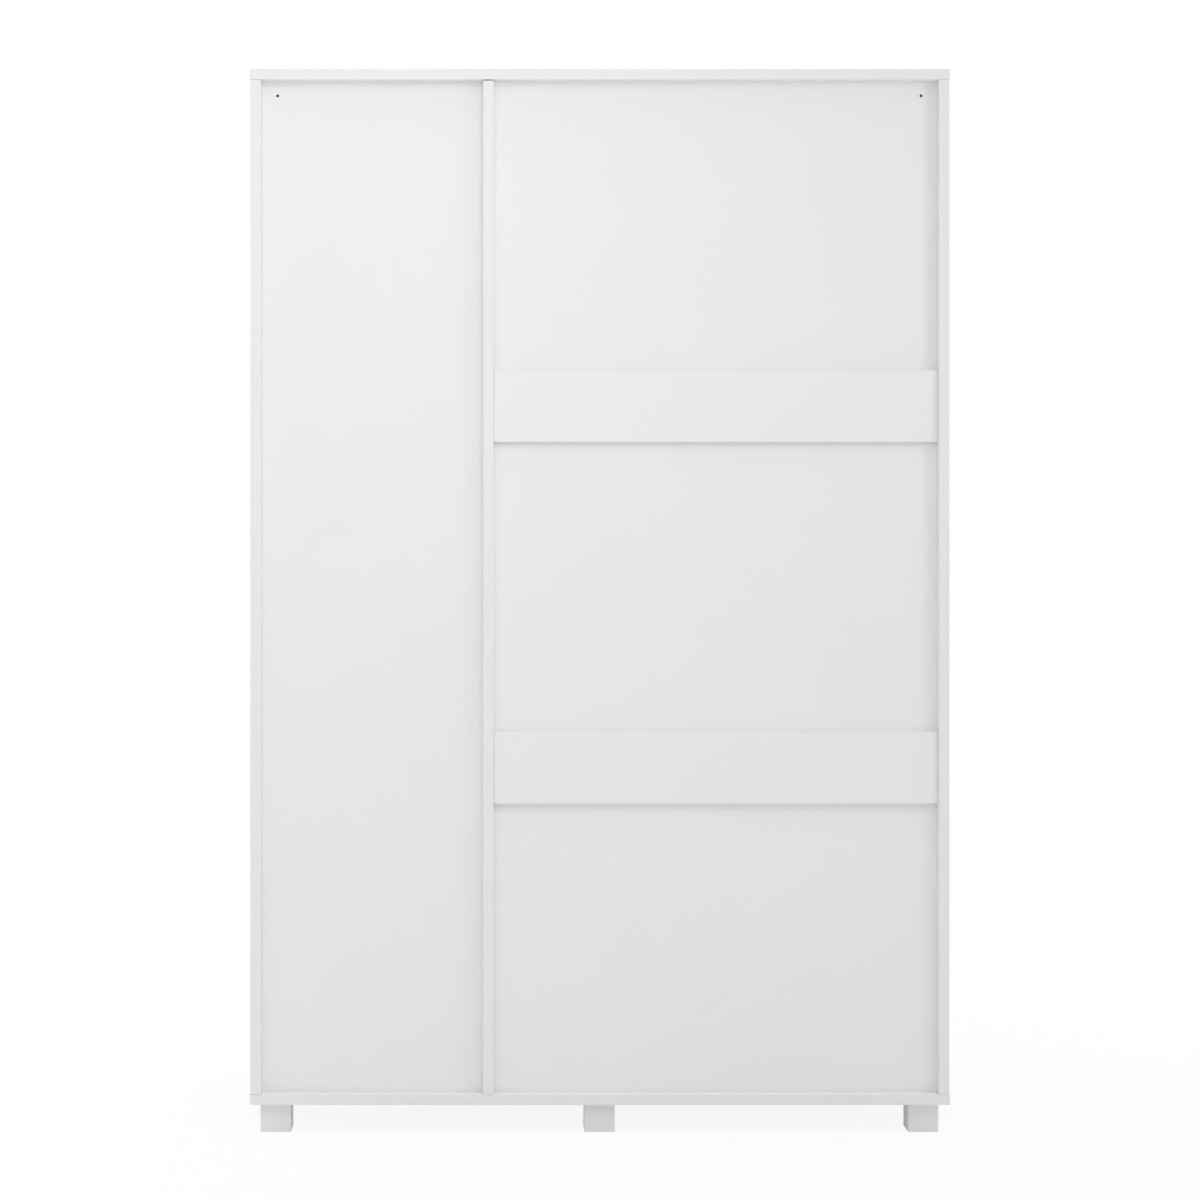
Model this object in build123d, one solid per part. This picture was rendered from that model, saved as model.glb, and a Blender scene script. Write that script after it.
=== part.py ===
"""Sliding door wardrobe: a flat-pack cabinet on six feet with two bottom-rolling doors.

Millimetres. X runs along the front, Y from the front to the back and Z up from the floor.
The origin is on the floor, under the middle of the cabinet.
"""
from build123d import *
import os

# Cabinet
WIDTH = 1200.0
DEPTH = 550.0
HEIGHT = 1825.0
BOARD = 18.0
EDGE_EASE = 0.6
SIDE_REVEAL = 1.0
NARROW_BAY = 381.0
DIVIDER_TOP_GAP = 1.5
INTERIOR_GAP = 5.0

# Feet
FOOT_SIDE = 52.0
FOOT_HEIGHT = 50.0
FOOT_INSET = 17.0
FOOT_ROUND = 1.0
FOOT_WALL = 3.0
FOOT_PLATE = 4.0
FOOT_RIB = 2.0
FOOT_RIB_RISE = 3.0
FOOT_SCREW_OFFSET = 11.0
FOOT_SCREW_LENGTH = 16.0

# Back sheets and rails
BACK_RECESS = 22.0
SHEET = 3.0
GROOVE_DEPTH = 6.0
GROOVE_CLEARANCE = 0.25
GROOVE_END_GAP = 1.0
SHEET_JOINT = 1.0
RAIL_HEIGHT = 124.0
RAIL_THICKNESS = 12.0
RAIL_DOWEL_INSET = 30.0
WALL_HOLE_RADIUS = 2.5
WALL_HOLE_SIDE = 27.0
WALL_HOLE_DROP = 24.0

# Shelves, their pins and the hanging rod
HAT_SPACE = 300.0
SHELF_COUNT = 4
SHELF_BACK_GAP = 0.5
SHELF_END_GAP = 1.0
PIN_RADIUS = 2.5
PIN_HEAD_RADIUS = 3.5
PIN_HEAD_LENGTH = 7.0
PIN_DEPTH = 9.5
PIN_INSET = 100.0
PIN_PITCH = 32.0
ROD_HEIGHT = 30.0
ROD_WIDTH = 15.0
ROD_WALL = 1.0
ROD_DROP = 60.0
ROD_END_GAP = 0.5
SOCKET_LENGTH = 66.0
SOCKET_WIDTH = 26.0
SOCKET_BASE = 3.0
SOCKET_WALL = 3.0
SOCKET_REACH = 14.0
SOCKET_SCREW_INSET = 8.0
SOCKET_SCREW_LENGTH = 14.0

# Cam locks and dowels
CAM_RADIUS = 7.5
CAM_REACH = 34.0
CAM_BELOW = 4.5
CAM_ROW_INSET = 60.0
BOLT_THREAD_RADIUS = 3.0
BOLT_THREAD_LENGTH = 11.0
BOLT_SHAFT_RADIUS = 2.6
BOLT_HEAD_RADIUS = 3.4
BOLT_HEAD_HALF = 2.0
CAP_RADIUS = 8.6
CAP_THICKNESS = 1.2
CAP_ROUND = 0.5
DOWEL_RADIUS = 4.0
RAIL_DOWEL_RADIUS = 3.0
DOWEL_IN_FACE = 12.0
DOWEL_IN_END = 20.0
DOWEL_ROUND = 1.0
DOWEL_PITCH = 32.0

# Countersunk screws
SCREW_HEAD_RADIUS = 3.5
SCREW_HEAD_DEPTH = 1.8
SCREW_SHANK_RADIUS = 1.75
SCREW_TIP = 3.0

# Tracks
TRACK_SETBACK = 2.0
TRACK_WALL = 2.0
TRACK_END_GAP = 0.5
CHANNEL_WIDTH = 22.0
CHANNEL_DEPTH = 18.0
FASCIA_HEIGHT = 30.0
RIB_WIDTH = 3.0
RIB_HEIGHT = 6.0
TRACK_SCREW_COUNT = 4
TRACK_SCREW_LENGTH = 13.0

# Doors and their bumpers
DOOR_BOARD = 18.0
DOOR_OVERLAP = 40.0
DOOR_BOTTOM_GAP = 5.0
DOOR_TOP_GAP = 6.0
BUMPER_RADIUS = 6.0
BUMPER_THICKNESS = 3.0
BUMPER_GAP = 0.3
BUMPER_INSET = 300.0

# Flush door pulls
PULL_LENGTH = 160.0
PULL_WIDTH = 42.0
PULL_FLANGE = 1.5
PULL_LIP = 6.0
PULL_DEPTH = 11.0
PULL_WALL = 1.5
PULL_DRAFT = 8.0
PULL_ROUND = 1.2
PULL_EDGE_INSET = 60.0
PULL_ABOVE_FLOOR = 1000.0

# Rollers and their carriages
ROLLER_RADIUS = 13.0
ROLLER_ROOT = 11.0
ROLLER_WIDTH = 7.0
ROLLER_GROOVE_ROOT = 2.4
ROLLER_GROOVE_MOUTH = 3.8
ROLLER_WEB = 4.0
ROLLER_HUB = 5.0
ROLLER_RIM_INNER = 9.0
ROLLER_LIFT = 0.2
AXLE_RADIUS = 2.0
AXLE_FIT = 0.05
AXLE_INSET = 0.2
CARRIAGE_LENGTH = 44.0
CARRIAGE_CHEEK = 2.0
CARRIAGE_ROOF = 3.0
CARRIAGE_ROOM = 1.0
CARRIAGE_SIDE_ROOM = 0.5
CARRIAGE_FLANGE = 2.5
CARRIAGE_EAR = 18.0
CARRIAGE_EDGE = 1.0
CARRIAGE_ROUND = 3.0
CARRIAGE_INSET = 90.0
DOOR_SCREW_LENGTH = 16.0

# Top guides
GUIDE_BASE_LENGTH = 74.0
GUIDE_BASE = 3.0
GUIDE_TONGUE_LENGTH = 46.0
GUIDE_TONGUE_ROUND = 4.0
GUIDE_SIDE_ROOM = 0.5
GUIDE_HEADROOM = 6.0
GUIDE_WALL = 4.0
GUIDE_FLOOR = 3.0
GUIDE_SCREW_INSET = 6.0
GUIDE_INSET = 60.0

# Shared clearances
FIT = 0.15
POCKET_ROOM = 0.3
OVERCUT = 1.0

# Levels and planes worked out from the sizes above
FRONT = -DEPTH / 2
REAR = DEPTH / 2
FLOOR = FOOT_HEIGHT + BOARD
CEILING = HEIGHT - BOARD
SIDE_OUT = WIDTH / 2 - SIDE_REVEAL
SIDE_IN = SIDE_OUT - BOARD
NARROW_X = (SIDE_IN - NARROW_BAY, SIDE_IN)
DIVIDER_X = (NARROW_X[0] - BOARD, NARROW_X[0])
WIDE_X = (-SIDE_IN, DIVIDER_X[0])
DIVIDER_MIDDLE = NARROW_X[0] - BOARD / 2

SHEET_Y = (REAR - BACK_RECESS - SHEET, REAR - BACK_RECESS)
GROOVE_Y = (SHEET_Y[0] - GROOVE_CLEARANCE, SHEET_Y[1] + GROOVE_CLEARANCE)
SHEET_INSERT = GROOVE_DEPTH - GROOVE_END_GAP
RAIL_Y = (SHEET_Y[1], SHEET_Y[1] + RAIL_THICKNESS)
RAIL_SPACE = (CEILING - FLOOR - 2 * RAIL_HEIGHT) / 3
LOWER_RAIL_Z = (FLOOR + RAIL_SPACE, FLOOR + RAIL_SPACE + RAIL_HEIGHT)
UPPER_RAIL_Z = (CEILING - RAIL_SPACE - RAIL_HEIGHT, CEILING - RAIL_SPACE)
WALL_HOLE_X = SIDE_IN - WALL_HOLE_SIDE
WALL_HOLE_Z = CEILING - WALL_HOLE_DROP

DOOR_PITCH = CHANNEL_WIDTH + TRACK_WALL
OUTER_DOOR_Y = FRONT + TRACK_SETBACK + TRACK_WALL + CHANNEL_WIDTH / 2
INNER_DOOR_Y = OUTER_DOOR_Y + DOOR_PITCH
TRACK_Y = (FRONT + TRACK_SETBACK, INNER_DOOR_Y + CHANNEL_WIDTH / 2 + TRACK_WALL)
TRACK_LENGTH = 2 * (SIDE_IN - TRACK_END_GAP)
RIB_TOP = FLOOR + TRACK_WALL + RIB_HEIGHT
CHANNEL_MOUTH = CEILING - CHANNEL_DEPTH
INSIDE_Y = (TRACK_Y[1] + INTERIOR_GAP, SHEET_Y[0] - SHELF_BACK_GAP)
CAM_ROWS = (INSIDE_Y[0] + CAM_ROW_INSET, INSIDE_Y[1] - CAM_ROW_INSET)
DOWEL_ROWS = (CAM_ROWS[0] + DOWEL_PITCH, CAM_ROWS[1] - DOWEL_PITCH)
PIN_ROWS = (INSIDE_Y[0] + PIN_INSET, INSIDE_Y[1] - PIN_INSET)

HAT_SHELF_Z = (CEILING - HAT_SPACE - BOARD, CEILING - HAT_SPACE)
SHELF_SPACE = (CEILING - FLOOR - SHELF_COUNT * BOARD) / (SHELF_COUNT + 1)
SHELF_BOTTOMS = [FLOOR + SHELF_SPACE + k * (SHELF_SPACE + BOARD) for k in range(SHELF_COUNT)]
ROD_Y = (INSIDE_Y[0] + INSIDE_Y[1]) / 2
ROD_Z = HAT_SHELF_Z[0] - ROD_DROP

DOOR_END = BUMPER_THICKNESS + BUMPER_GAP
DOOR_RUN = 2 * (SIDE_IN - DOOR_END)
DOOR_WIDTH = (DOOR_RUN + DOOR_OVERLAP) / 2
DOOR_TRAVEL = DOOR_RUN - DOOR_WIDTH
DOOR_Z = (RIB_TOP + DOOR_BOTTOM_GAP, CHANNEL_MOUTH - DOOR_TOP_GAP)
AXLE_Z = RIB_TOP + ROLLER_LIFT + ROLLER_ROOT
BUMPER_LEVELS = (DOOR_Z[0] + BUMPER_INSET, DOOR_Z[1] - BUMPER_INSET)

UP = (0, 0, 1)
DOWN = (0, 0, -1)
RIGHT = (1, 0, 0)
LEFT = (-1, 0, 0)
BACKWARD = (0, 1, 0)
FORWARD = (0, -1, 0)
FROM_BASE = (Align.CENTER, Align.CENTER, Align.MIN)

pieces = {}
cuts = {}


def keep(node, *solids):
    """Adds solids to a node."""
    pieces.setdefault(node, []).extend(solids)


def cut(node, *tools):
    """Notes holes and grooves that a node gets."""
    cuts.setdefault(node, []).extend(tools)


def block(x, y, z):
    """A box between pairs of low and high coordinates."""
    spans = [high - low for low, high in (x, y, z)]
    return Pos(x[0], y[0], z[0]) * Box(*spans, align=(Align.MIN, Align.MIN, Align.MIN))


def board(x, y, z):
    """A panel with its edges eased by the edge banding."""
    panel = block(x, y, z)
    return chamfer(panel.edges(), EDGE_EASE)


def bore(point, axis, radius, depth):
    """A round cutter that starts just outside a point and goes along an axis."""
    shaft = Cylinder(radius, depth + OVERCUT, align=FROM_BASE)
    return Plane(point, z_dir=axis) * (Pos(0, 0, -OVERCUT) * shaft)


def turned(point, axis, *outline):
    """A turned solid from pairs of radius and distance along its axis."""
    profile = make_face(Polyline(*outline, close=True))
    solid = revolve(Plane.XZ * profile, Axis.Z)
    return Plane(point, z_dir=axis) * solid


def screw(node, point, axis, length, *through):
    """A countersunk screw with its head level at a point, and its hole in each piece it goes through."""
    neck = SCREW_HEAD_DEPTH
    shank = SCREW_SHANK_RADIUS
    head = SCREW_HEAD_RADIUS
    shoulder = length - SCREW_TIP
    keep(node, turned(point, axis, (0, 0), (head, 0), (shank, neck), (shank, shoulder), (0, length)))
    wide = head + FIT
    slim = shank + FIT
    deep = length + FIT
    hole = turned(
        point, axis, (0, -OVERCUT), (wide, -OVERCUT), (wide, 0), (slim, neck), (slim, deep), (0, deep))
    for name in through:
        cut(name, hole)


def cam_joint(held, holder, point, inward, face):
    """Draws a board's end to another board's face with a cam lock, its bolt and its cap.

    The point is on the holder's face at half the held board's thickness, inward goes along the
    held board, and face points out of the side that takes the cam.
    """
    mouth = Vector(*point) + Vector(*inward) * CAM_REACH + Vector(*face) * (BOARD / 2)
    place = Plane(mouth, x_dir=inward, z_dir=face)
    middle = -BOARD / 2
    depth = BOARD / 2 + CAM_BELOW
    joint = (-CAM_REACH, 0, middle)
    thread_end = (-CAM_REACH - BOLT_THREAD_LENGTH, 0, middle)
    neck = BOLT_THREAD_LENGTH + CAM_REACH - BOLT_HEAD_HALF
    tip = BOLT_THREAD_LENGTH + CAM_REACH + BOLT_HEAD_HALF
    half = BOLT_HEAD_RADIUS + POCKET_ROOM
    slot = block((-CAM_RADIUS - OVERCUT, half), (-half, half), (middle - half, middle + half))

    cam = Cylinder(CAM_RADIUS, depth, align=(Align.CENTER, Align.CENTER, Align.MAX)) - slot
    bolt = turned(
        thread_end, RIGHT, (0, 0), (BOLT_THREAD_RADIUS, 0), (BOLT_THREAD_RADIUS, BOLT_THREAD_LENGTH),
        (BOLT_SHAFT_RADIUS, BOLT_THREAD_LENGTH), (BOLT_SHAFT_RADIUS, neck), (BOLT_HEAD_RADIUS, neck),
        (BOLT_HEAD_RADIUS, tip), (0, tip))
    cap = Cylinder(CAP_RADIUS, CAP_THICKNESS, align=FROM_BASE)
    cap = chamfer(cap.edges().group_by(Axis.Z)[-1], CAP_ROUND)
    keep("cam_locks", place * cam)
    keep("cam_bolts", place * bolt)
    keep("cam_caps", place * cap)

    cut(held, place * bore((0, 0, 0), DOWN, CAM_RADIUS + FIT, depth + FIT))
    cut(held, place * bore(joint, RIGHT, BOLT_HEAD_RADIUS + POCKET_ROOM, CAM_REACH))
    cut(holder, place * bore(joint, LEFT, BOLT_THREAD_RADIUS + FIT, BOLT_THREAD_LENGTH + FIT))


def dowel_joint(node, held, holder, point, inward, radius):
    """A dowel glued half into a board's end and half into another board's face."""
    slim = radius - DOWEL_ROUND
    low = -DOWEL_IN_FACE
    high = DOWEL_IN_END
    keep(node, turned(
        point, inward, (0, low), (slim, low), (radius, low + DOWEL_ROUND),
        (radius, high - DOWEL_ROUND), (slim, high), (0, high)))
    outward = Vector(*inward) * -1
    cut(held, bore(point, inward, radius + FIT, DOWEL_IN_END + FIT))
    cut(holder, bore(point, outward, radius + FIT, DOWEL_IN_FACE + FIT))


def board_joint(held, holder, x, z, inward, face):
    """The row of cams and dowels along one end of a board."""
    for y in CAM_ROWS:
        cam_joint(held, holder, (x, y, z), inward, face)
    for y in DOWEL_ROWS:
        dowel_joint("wood_dowels", held, holder, (x, y, z), inward, DOWEL_RADIUS)


def carcass():
    """The five boards of the cabinet, with the grooves that take the back sheets."""
    side_z = (FLOOR, CEILING)
    full_x = (-WIDTH / 2, WIDTH / 2)
    full_y = (FRONT, REAR)
    keep("top_panel", board(full_x, full_y, (CEILING, HEIGHT)))
    keep("bottom_panel", board(full_x, full_y, (FOOT_HEIGHT, FLOOR)))
    keep("left_side_panel", board((-SIDE_OUT, -SIDE_IN), full_y, side_z))
    keep("right_side_panel", board((SIDE_IN, SIDE_OUT), full_y, side_z))
    keep("divider_panel", board(DIVIDER_X, (INSIDE_Y[0], REAR), (FLOOR, CEILING - DIVIDER_TOP_GAP)))

    span_x = (-SIDE_IN - GROOVE_DEPTH, SIDE_IN + GROOVE_DEPTH)
    cut("top_panel", block(span_x, GROOVE_Y, (CEILING - OVERCUT, CEILING + GROOVE_DEPTH)))
    cut("bottom_panel", block(span_x, GROOVE_Y, (FLOOR - GROOVE_DEPTH, FLOOR + OVERCUT)))
    run_z = (FLOOR - OVERCUT, CEILING + OVERCUT)
    wide_low, wide_high = WIDE_X
    narrow_low, narrow_high = NARROW_X
    cut("left_side_panel", block((wide_low - GROOVE_DEPTH, wide_low + OVERCUT), GROOVE_Y, run_z))
    cut("divider_panel", block((wide_high - OVERCUT, wide_high + GROOVE_DEPTH), GROOVE_Y, run_z))
    cut("divider_panel", block((narrow_low - GROOVE_DEPTH, narrow_low + OVERCUT), GROOVE_Y, run_z))
    cut("right_side_panel", block((narrow_high - OVERCUT, narrow_high + GROOVE_DEPTH), GROOVE_Y, run_z))

    middle = SIDE_IN + BOARD / 2
    uprights = (
        ("left_side_panel", -middle, RIGHT),
        ("divider_panel", DIVIDER_MIDDLE, RIGHT),
        ("right_side_panel", middle, LEFT))
    for name, x, face in uprights:
        board_joint(name, "top_panel", x, CEILING, DOWN, face)
        board_joint(name, "bottom_panel", x, FLOOR, UP, face)


def back():
    """Thin back sheets in their grooves, and the two rails that cover the joints of the wide bay."""
    wide_x = (WIDE_X[0] - SHEET_INSERT, WIDE_X[1] + SHEET_INSERT)
    narrow_x = (NARROW_X[0] - SHEET_INSERT, NARROW_X[1] + SHEET_INSERT)
    low = FLOOR - SHEET_INSERT
    high = CEILING + SHEET_INSERT
    lower_joint = sum(LOWER_RAIL_Z) / 2
    upper_joint = sum(UPPER_RAIL_Z) / 2
    gap = SHEET_JOINT / 2
    keep("back_sheet_narrow", block(narrow_x, SHEET_Y, (low, high)))
    keep("back_sheet_lower", block(wide_x, SHEET_Y, (low, lower_joint - gap)))
    keep("back_sheet_middle", block(wide_x, SHEET_Y, (lower_joint + gap, upper_joint - gap)))
    keep("back_sheet_upper", block(wide_x, SHEET_Y, (upper_joint + gap, high)))
    for name, x in (("back_sheet_narrow", WALL_HOLE_X), ("back_sheet_upper", -WALL_HOLE_X)):
        cut(name, bore((x, SHEET_Y[1], WALL_HOLE_Z), FORWARD, WALL_HOLE_RADIUS, SHEET + OVERCUT))

    middle = sum(RAIL_Y) / 2
    ends = (("left_side_panel", WIDE_X[0], RIGHT), ("divider_panel", WIDE_X[1], LEFT))
    for name, z in (("back_rail_lower", LOWER_RAIL_Z), ("back_rail_upper", UPPER_RAIL_Z)):
        keep(name, board(WIDE_X, RAIL_Y, z))
        for level in (z[0] + RAIL_DOWEL_INSET, z[1] - RAIL_DOWEL_INSET):
            for holder, x, inward in ends:
                dowel_joint("rail_dowels", name, holder, (x, middle, level), inward, RAIL_DOWEL_RADIUS)


def shelves():
    """The hat shelf, the fixed shelf at half height on cams, and the adjustable shelves on pins."""
    hat_middle = HAT_SHELF_Z[0] + BOARD / 2
    keep("hat_shelf", board(WIDE_X, INSIDE_Y, HAT_SHELF_Z))
    board_joint("hat_shelf", "left_side_panel", WIDE_X[0], hat_middle, RIGHT, DOWN)
    board_joint("hat_shelf", "divider_panel", WIDE_X[1], hat_middle, LEFT, DOWN)

    loose_x = (NARROW_X[0] + SHELF_END_GAP, NARROW_X[1] - SHELF_END_GAP)
    holders = (("divider_panel", NARROW_X[0], RIGHT), ("right_side_panel", NARROW_X[1], LEFT))
    loose = 0
    for index, low in enumerate(SHELF_BOTTOMS):
        z = (low, low + BOARD)
        if index == SHELF_COUNT // 2:
            keep("fixed_shelf", board(NARROW_X, INSIDE_Y, z))
            for holder, x, inward in holders:
                board_joint("fixed_shelf", holder, x, low + BOARD / 2, inward, DOWN)
            continue
        loose += 1
        keep(f"adjustable_shelf_{loose}", board(loose_x, INSIDE_Y, z))
        for holder, x, outward in holders:
            for y in PIN_ROWS:
                shelf_pin(holder, (x, y, low - PIN_HEAD_RADIUS), outward)


def shelf_pin(holder, point, outward):
    """A shelf pin, its hole, and the spare holes above and below it."""
    keep("shelf_pins", turned(
        point, outward, (0, -PIN_DEPTH), (PIN_RADIUS - FIT, -PIN_DEPTH), (PIN_RADIUS - FIT, 0),
        (PIN_HEAD_RADIUS, 0), (PIN_HEAD_RADIUS, PIN_HEAD_LENGTH), (0, PIN_HEAD_LENGTH)))
    inward = Vector(*outward) * -1
    for step in (-1, 0, 1):
        spot = Vector(*point) + Vector(0, 0, step * PIN_PITCH)
        cut(holder, bore(spot, inward, PIN_RADIUS, PIN_DEPTH + FIT))


def hanging_rod():
    """The oval rod tube and the two sockets that carry its ends."""
    outside = SlotOverall(ROD_HEIGHT, ROD_WIDTH)
    inside = SlotOverall(ROD_HEIGHT - 2 * ROD_WALL, ROD_WIDTH - 2 * ROD_WALL)
    start = WIDE_X[0] + SOCKET_BASE + ROD_END_GAP
    length = WIDE_X[1] - WIDE_X[0] - 2 * (SOCKET_BASE + ROD_END_GAP)
    section = Plane((start, ROD_Y, ROD_Z), x_dir=UP, z_dir=RIGHT)
    keep("hanging_rod", extrude(section * (outside - inside), length))

    room = 2 * POCKET_ROOM
    mouth = SlotOverall(ROD_HEIGHT + room, ROD_WIDTH + room)
    collar = SlotOverall(ROD_HEIGHT + room + 2 * SOCKET_WALL, ROD_WIDTH + room + 2 * SOCKET_WALL)
    base = extrude(SlotOverall(SOCKET_LENGTH, SOCKET_WIDTH), SOCKET_BASE)
    socket = base + extrude(collar, SOCKET_REACH)
    socket -= Pos(0, 0, SOCKET_BASE) * extrude(mouth, SOCKET_REACH)
    reach = SOCKET_LENGTH / 2 - SOCKET_SCREW_INSET
    ends = (
        ("rod_socket_left", "left_side_panel", WIDE_X[0], RIGHT, LEFT),
        ("rod_socket_right", "divider_panel", WIDE_X[1], LEFT, RIGHT))
    for name, holder, x, outward, inward in ends:
        keep(name, Plane((x, ROD_Y, ROD_Z), x_dir=UP, z_dir=outward) * socket)
        face = x + outward[0] * SOCKET_BASE
        for z in (ROD_Z - reach, ROD_Z + reach):
            screw("rod_socket_screws", (face, ROD_Y, z), inward, SOCKET_SCREW_LENGTH, name, holder)


def patch(y, z):
    """A rectangle of an extrusion's profile, between pairs of coordinates."""
    return Pos(sum(y) / 2, sum(z) / 2) * Rectangle(y[1] - y[0], z[1] - z[0])


def tracks():
    """The extruded tracks: two round-topped ribs below, two guide channels and a fascia above."""
    start = Plane.YZ.offset(-TRACK_LENGTH / 2)
    base_top = FLOOR + TRACK_WALL
    round_centre = RIB_TOP - RIB_WIDTH / 2
    lower = patch(TRACK_Y, (FLOOR, base_top))
    for y in (OUTER_DOOR_Y, INNER_DOOR_Y):
        lower += patch((y - RIB_WIDTH / 2, y + RIB_WIDTH / 2), (FLOOR, round_centre))
        lower += Pos(y, round_centre) * Circle(RIB_WIDTH / 2)
    keep("bottom_track", extrude(start * lower, TRACK_LENGTH))

    roof = CEILING - TRACK_WALL
    upper = patch(TRACK_Y, (roof, CEILING))
    upper += patch((TRACK_Y[0], TRACK_Y[0] + TRACK_WALL), (CEILING - FASCIA_HEIGHT, CEILING))
    between = (OUTER_DOOR_Y + INNER_DOOR_Y) / 2
    for y in (between - TRACK_WALL / 2, TRACK_Y[1] - TRACK_WALL):
        upper += patch((y, y + TRACK_WALL), (CHANNEL_MOUTH, CEILING))
    keep("top_track", extrude(start * upper, TRACK_LENGTH))

    pitch = TRACK_LENGTH / TRACK_SCREW_COUNT
    for index in range(TRACK_SCREW_COUNT):
        x = (index + 0.5) * pitch - TRACK_LENGTH / 2
        below = (x, between, base_top)
        above = (x, INNER_DOOR_Y, roof)
        screw("track_screws", below, DOWN, TRACK_SCREW_LENGTH, "bottom_track", "bottom_panel")
        screw("track_screws", above, UP, TRACK_SCREW_LENGTH, "top_track", "top_panel")


def feet():
    """Six moulded feet, open below, with cross ribs and two screws each."""
    reach_x = WIDTH / 2 - FOOT_INSET - FOOT_SIDE / 2
    reach_y = DEPTH / 2 - FOOT_INSET - FOOT_SIDE / 2
    inner = FOOT_SIDE - 2 * FOOT_WALL
    outer_form = extrude(RectangleRounded(FOOT_SIDE, FOOT_SIDE, FOOT_ROUND), FOOT_HEIGHT)
    hollow = Box(inner, inner, FOOT_HEIGHT - FOOT_PLATE, align=FROM_BASE)
    rib_height = FOOT_HEIGHT - FOOT_RIB_RISE
    ribs = Box(inner, FOOT_RIB, rib_height, align=FROM_BASE)
    ribs += Box(FOOT_RIB, inner, rib_height, align=FROM_BASE)
    foot = outer_form - hollow + (Pos(0, 0, FOOT_RIB_RISE) * ribs)
    plate_under = FOOT_HEIGHT - FOOT_PLATE
    for row, y in (("front", -reach_y), ("rear", reach_y)):
        for column, x in (("left", -reach_x), ("centre", 0), ("right", reach_x)):
            name = f"{row}_{column}_foot"
            keep(name, Pos(x, y, 0) * foot)
            for step in (-FOOT_SCREW_OFFSET, FOOT_SCREW_OFFSET):
                spot = (x + step, y + step, plate_under)
                screw("foot_screws", spot, UP, FOOT_SCREW_LENGTH, name, "bottom_panel")


def bumpers():
    """Soft stops on the side panels, where the edges of both doors arrive."""
    slim = BUMPER_RADIUS - BUMPER_THICKNESS / 2
    for x, outward in ((-SIDE_IN, RIGHT), (SIDE_IN, LEFT)):
        for y in (OUTER_DOOR_Y, INNER_DOOR_Y):
            for z in BUMPER_LEVELS:
                keep("door_bumpers", turned(
                    (x, y, z), outward, (0, 0), (BUMPER_RADIUS, 0), (BUMPER_RADIUS, BUMPER_THICKNESS / 2),
                    (slim, BUMPER_THICKNESS), (0, BUMPER_THICKNESS)))


def door(name, side, y):
    """A door with its pull, rollers and guides; side is -1 on the left and 1 on the right."""
    panel = f"{name}_panel"
    outer_edge = side * (SIDE_IN - DOOR_END)
    x = sorted((outer_edge, outer_edge - side * DOOR_WIDTH))
    keep(panel, board(x, (y - DOOR_BOARD / 2, y + DOOR_BOARD / 2), DOOR_Z))
    door_pull(name, panel, outer_edge - side * PULL_EDGE_INSET, y - DOOR_BOARD / 2)
    for corner, carriage_x, guide_x in (
            ("left", x[0] + CARRIAGE_INSET, x[0] + GUIDE_INSET),
            ("right", x[1] - CARRIAGE_INSET, x[1] - GUIDE_INSET)):
        carriage(name, corner, panel, carriage_x, y)
        roller(f"{name}_{corner}_roller", carriage_x, y)
        guide(name, corner, panel, guide_x, y)


def door_pull(name, panel, x, face_y):
    """A flush pull: a drafted cup with a thin flange, let into the front of the door."""
    mouth_length = PULL_LENGTH - 2 * PULL_LIP
    mouth_width = PULL_WIDTH - 2 * PULL_LIP
    wall = 2 * PULL_WALL
    place = Plane((x, face_y, PULL_ABOVE_FLOOR), x_dir=UP, z_dir=FORWARD)
    flange = extrude(SlotOverall(PULL_LENGTH, PULL_WIDTH), PULL_FLANGE)
    flange = fillet(flange.edges().group_by(Axis.Z)[-1], PULL_ROUND)
    shell = extrude(SlotOverall(mouth_length + wall, mouth_width + wall), -PULL_DEPTH)
    room = Pos(0, 0, PULL_FLANGE) * extrude(
        SlotOverall(mouth_length, mouth_width), PULL_WALL - PULL_DEPTH - PULL_FLANGE, taper=PULL_DRAFT)
    keep(f"{name}_pull", place * (flange + shell - room))
    spread = wall + 2 * POCKET_ROOM
    pocket = extrude(SlotOverall(mouth_length + spread, mouth_width + spread), -PULL_DEPTH - POCKET_ROOM)
    mouth = extrude(SlotOverall(mouth_length + spread, mouth_width + spread), OVERCUT)
    cut(panel, place * (pocket + mouth))


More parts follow.
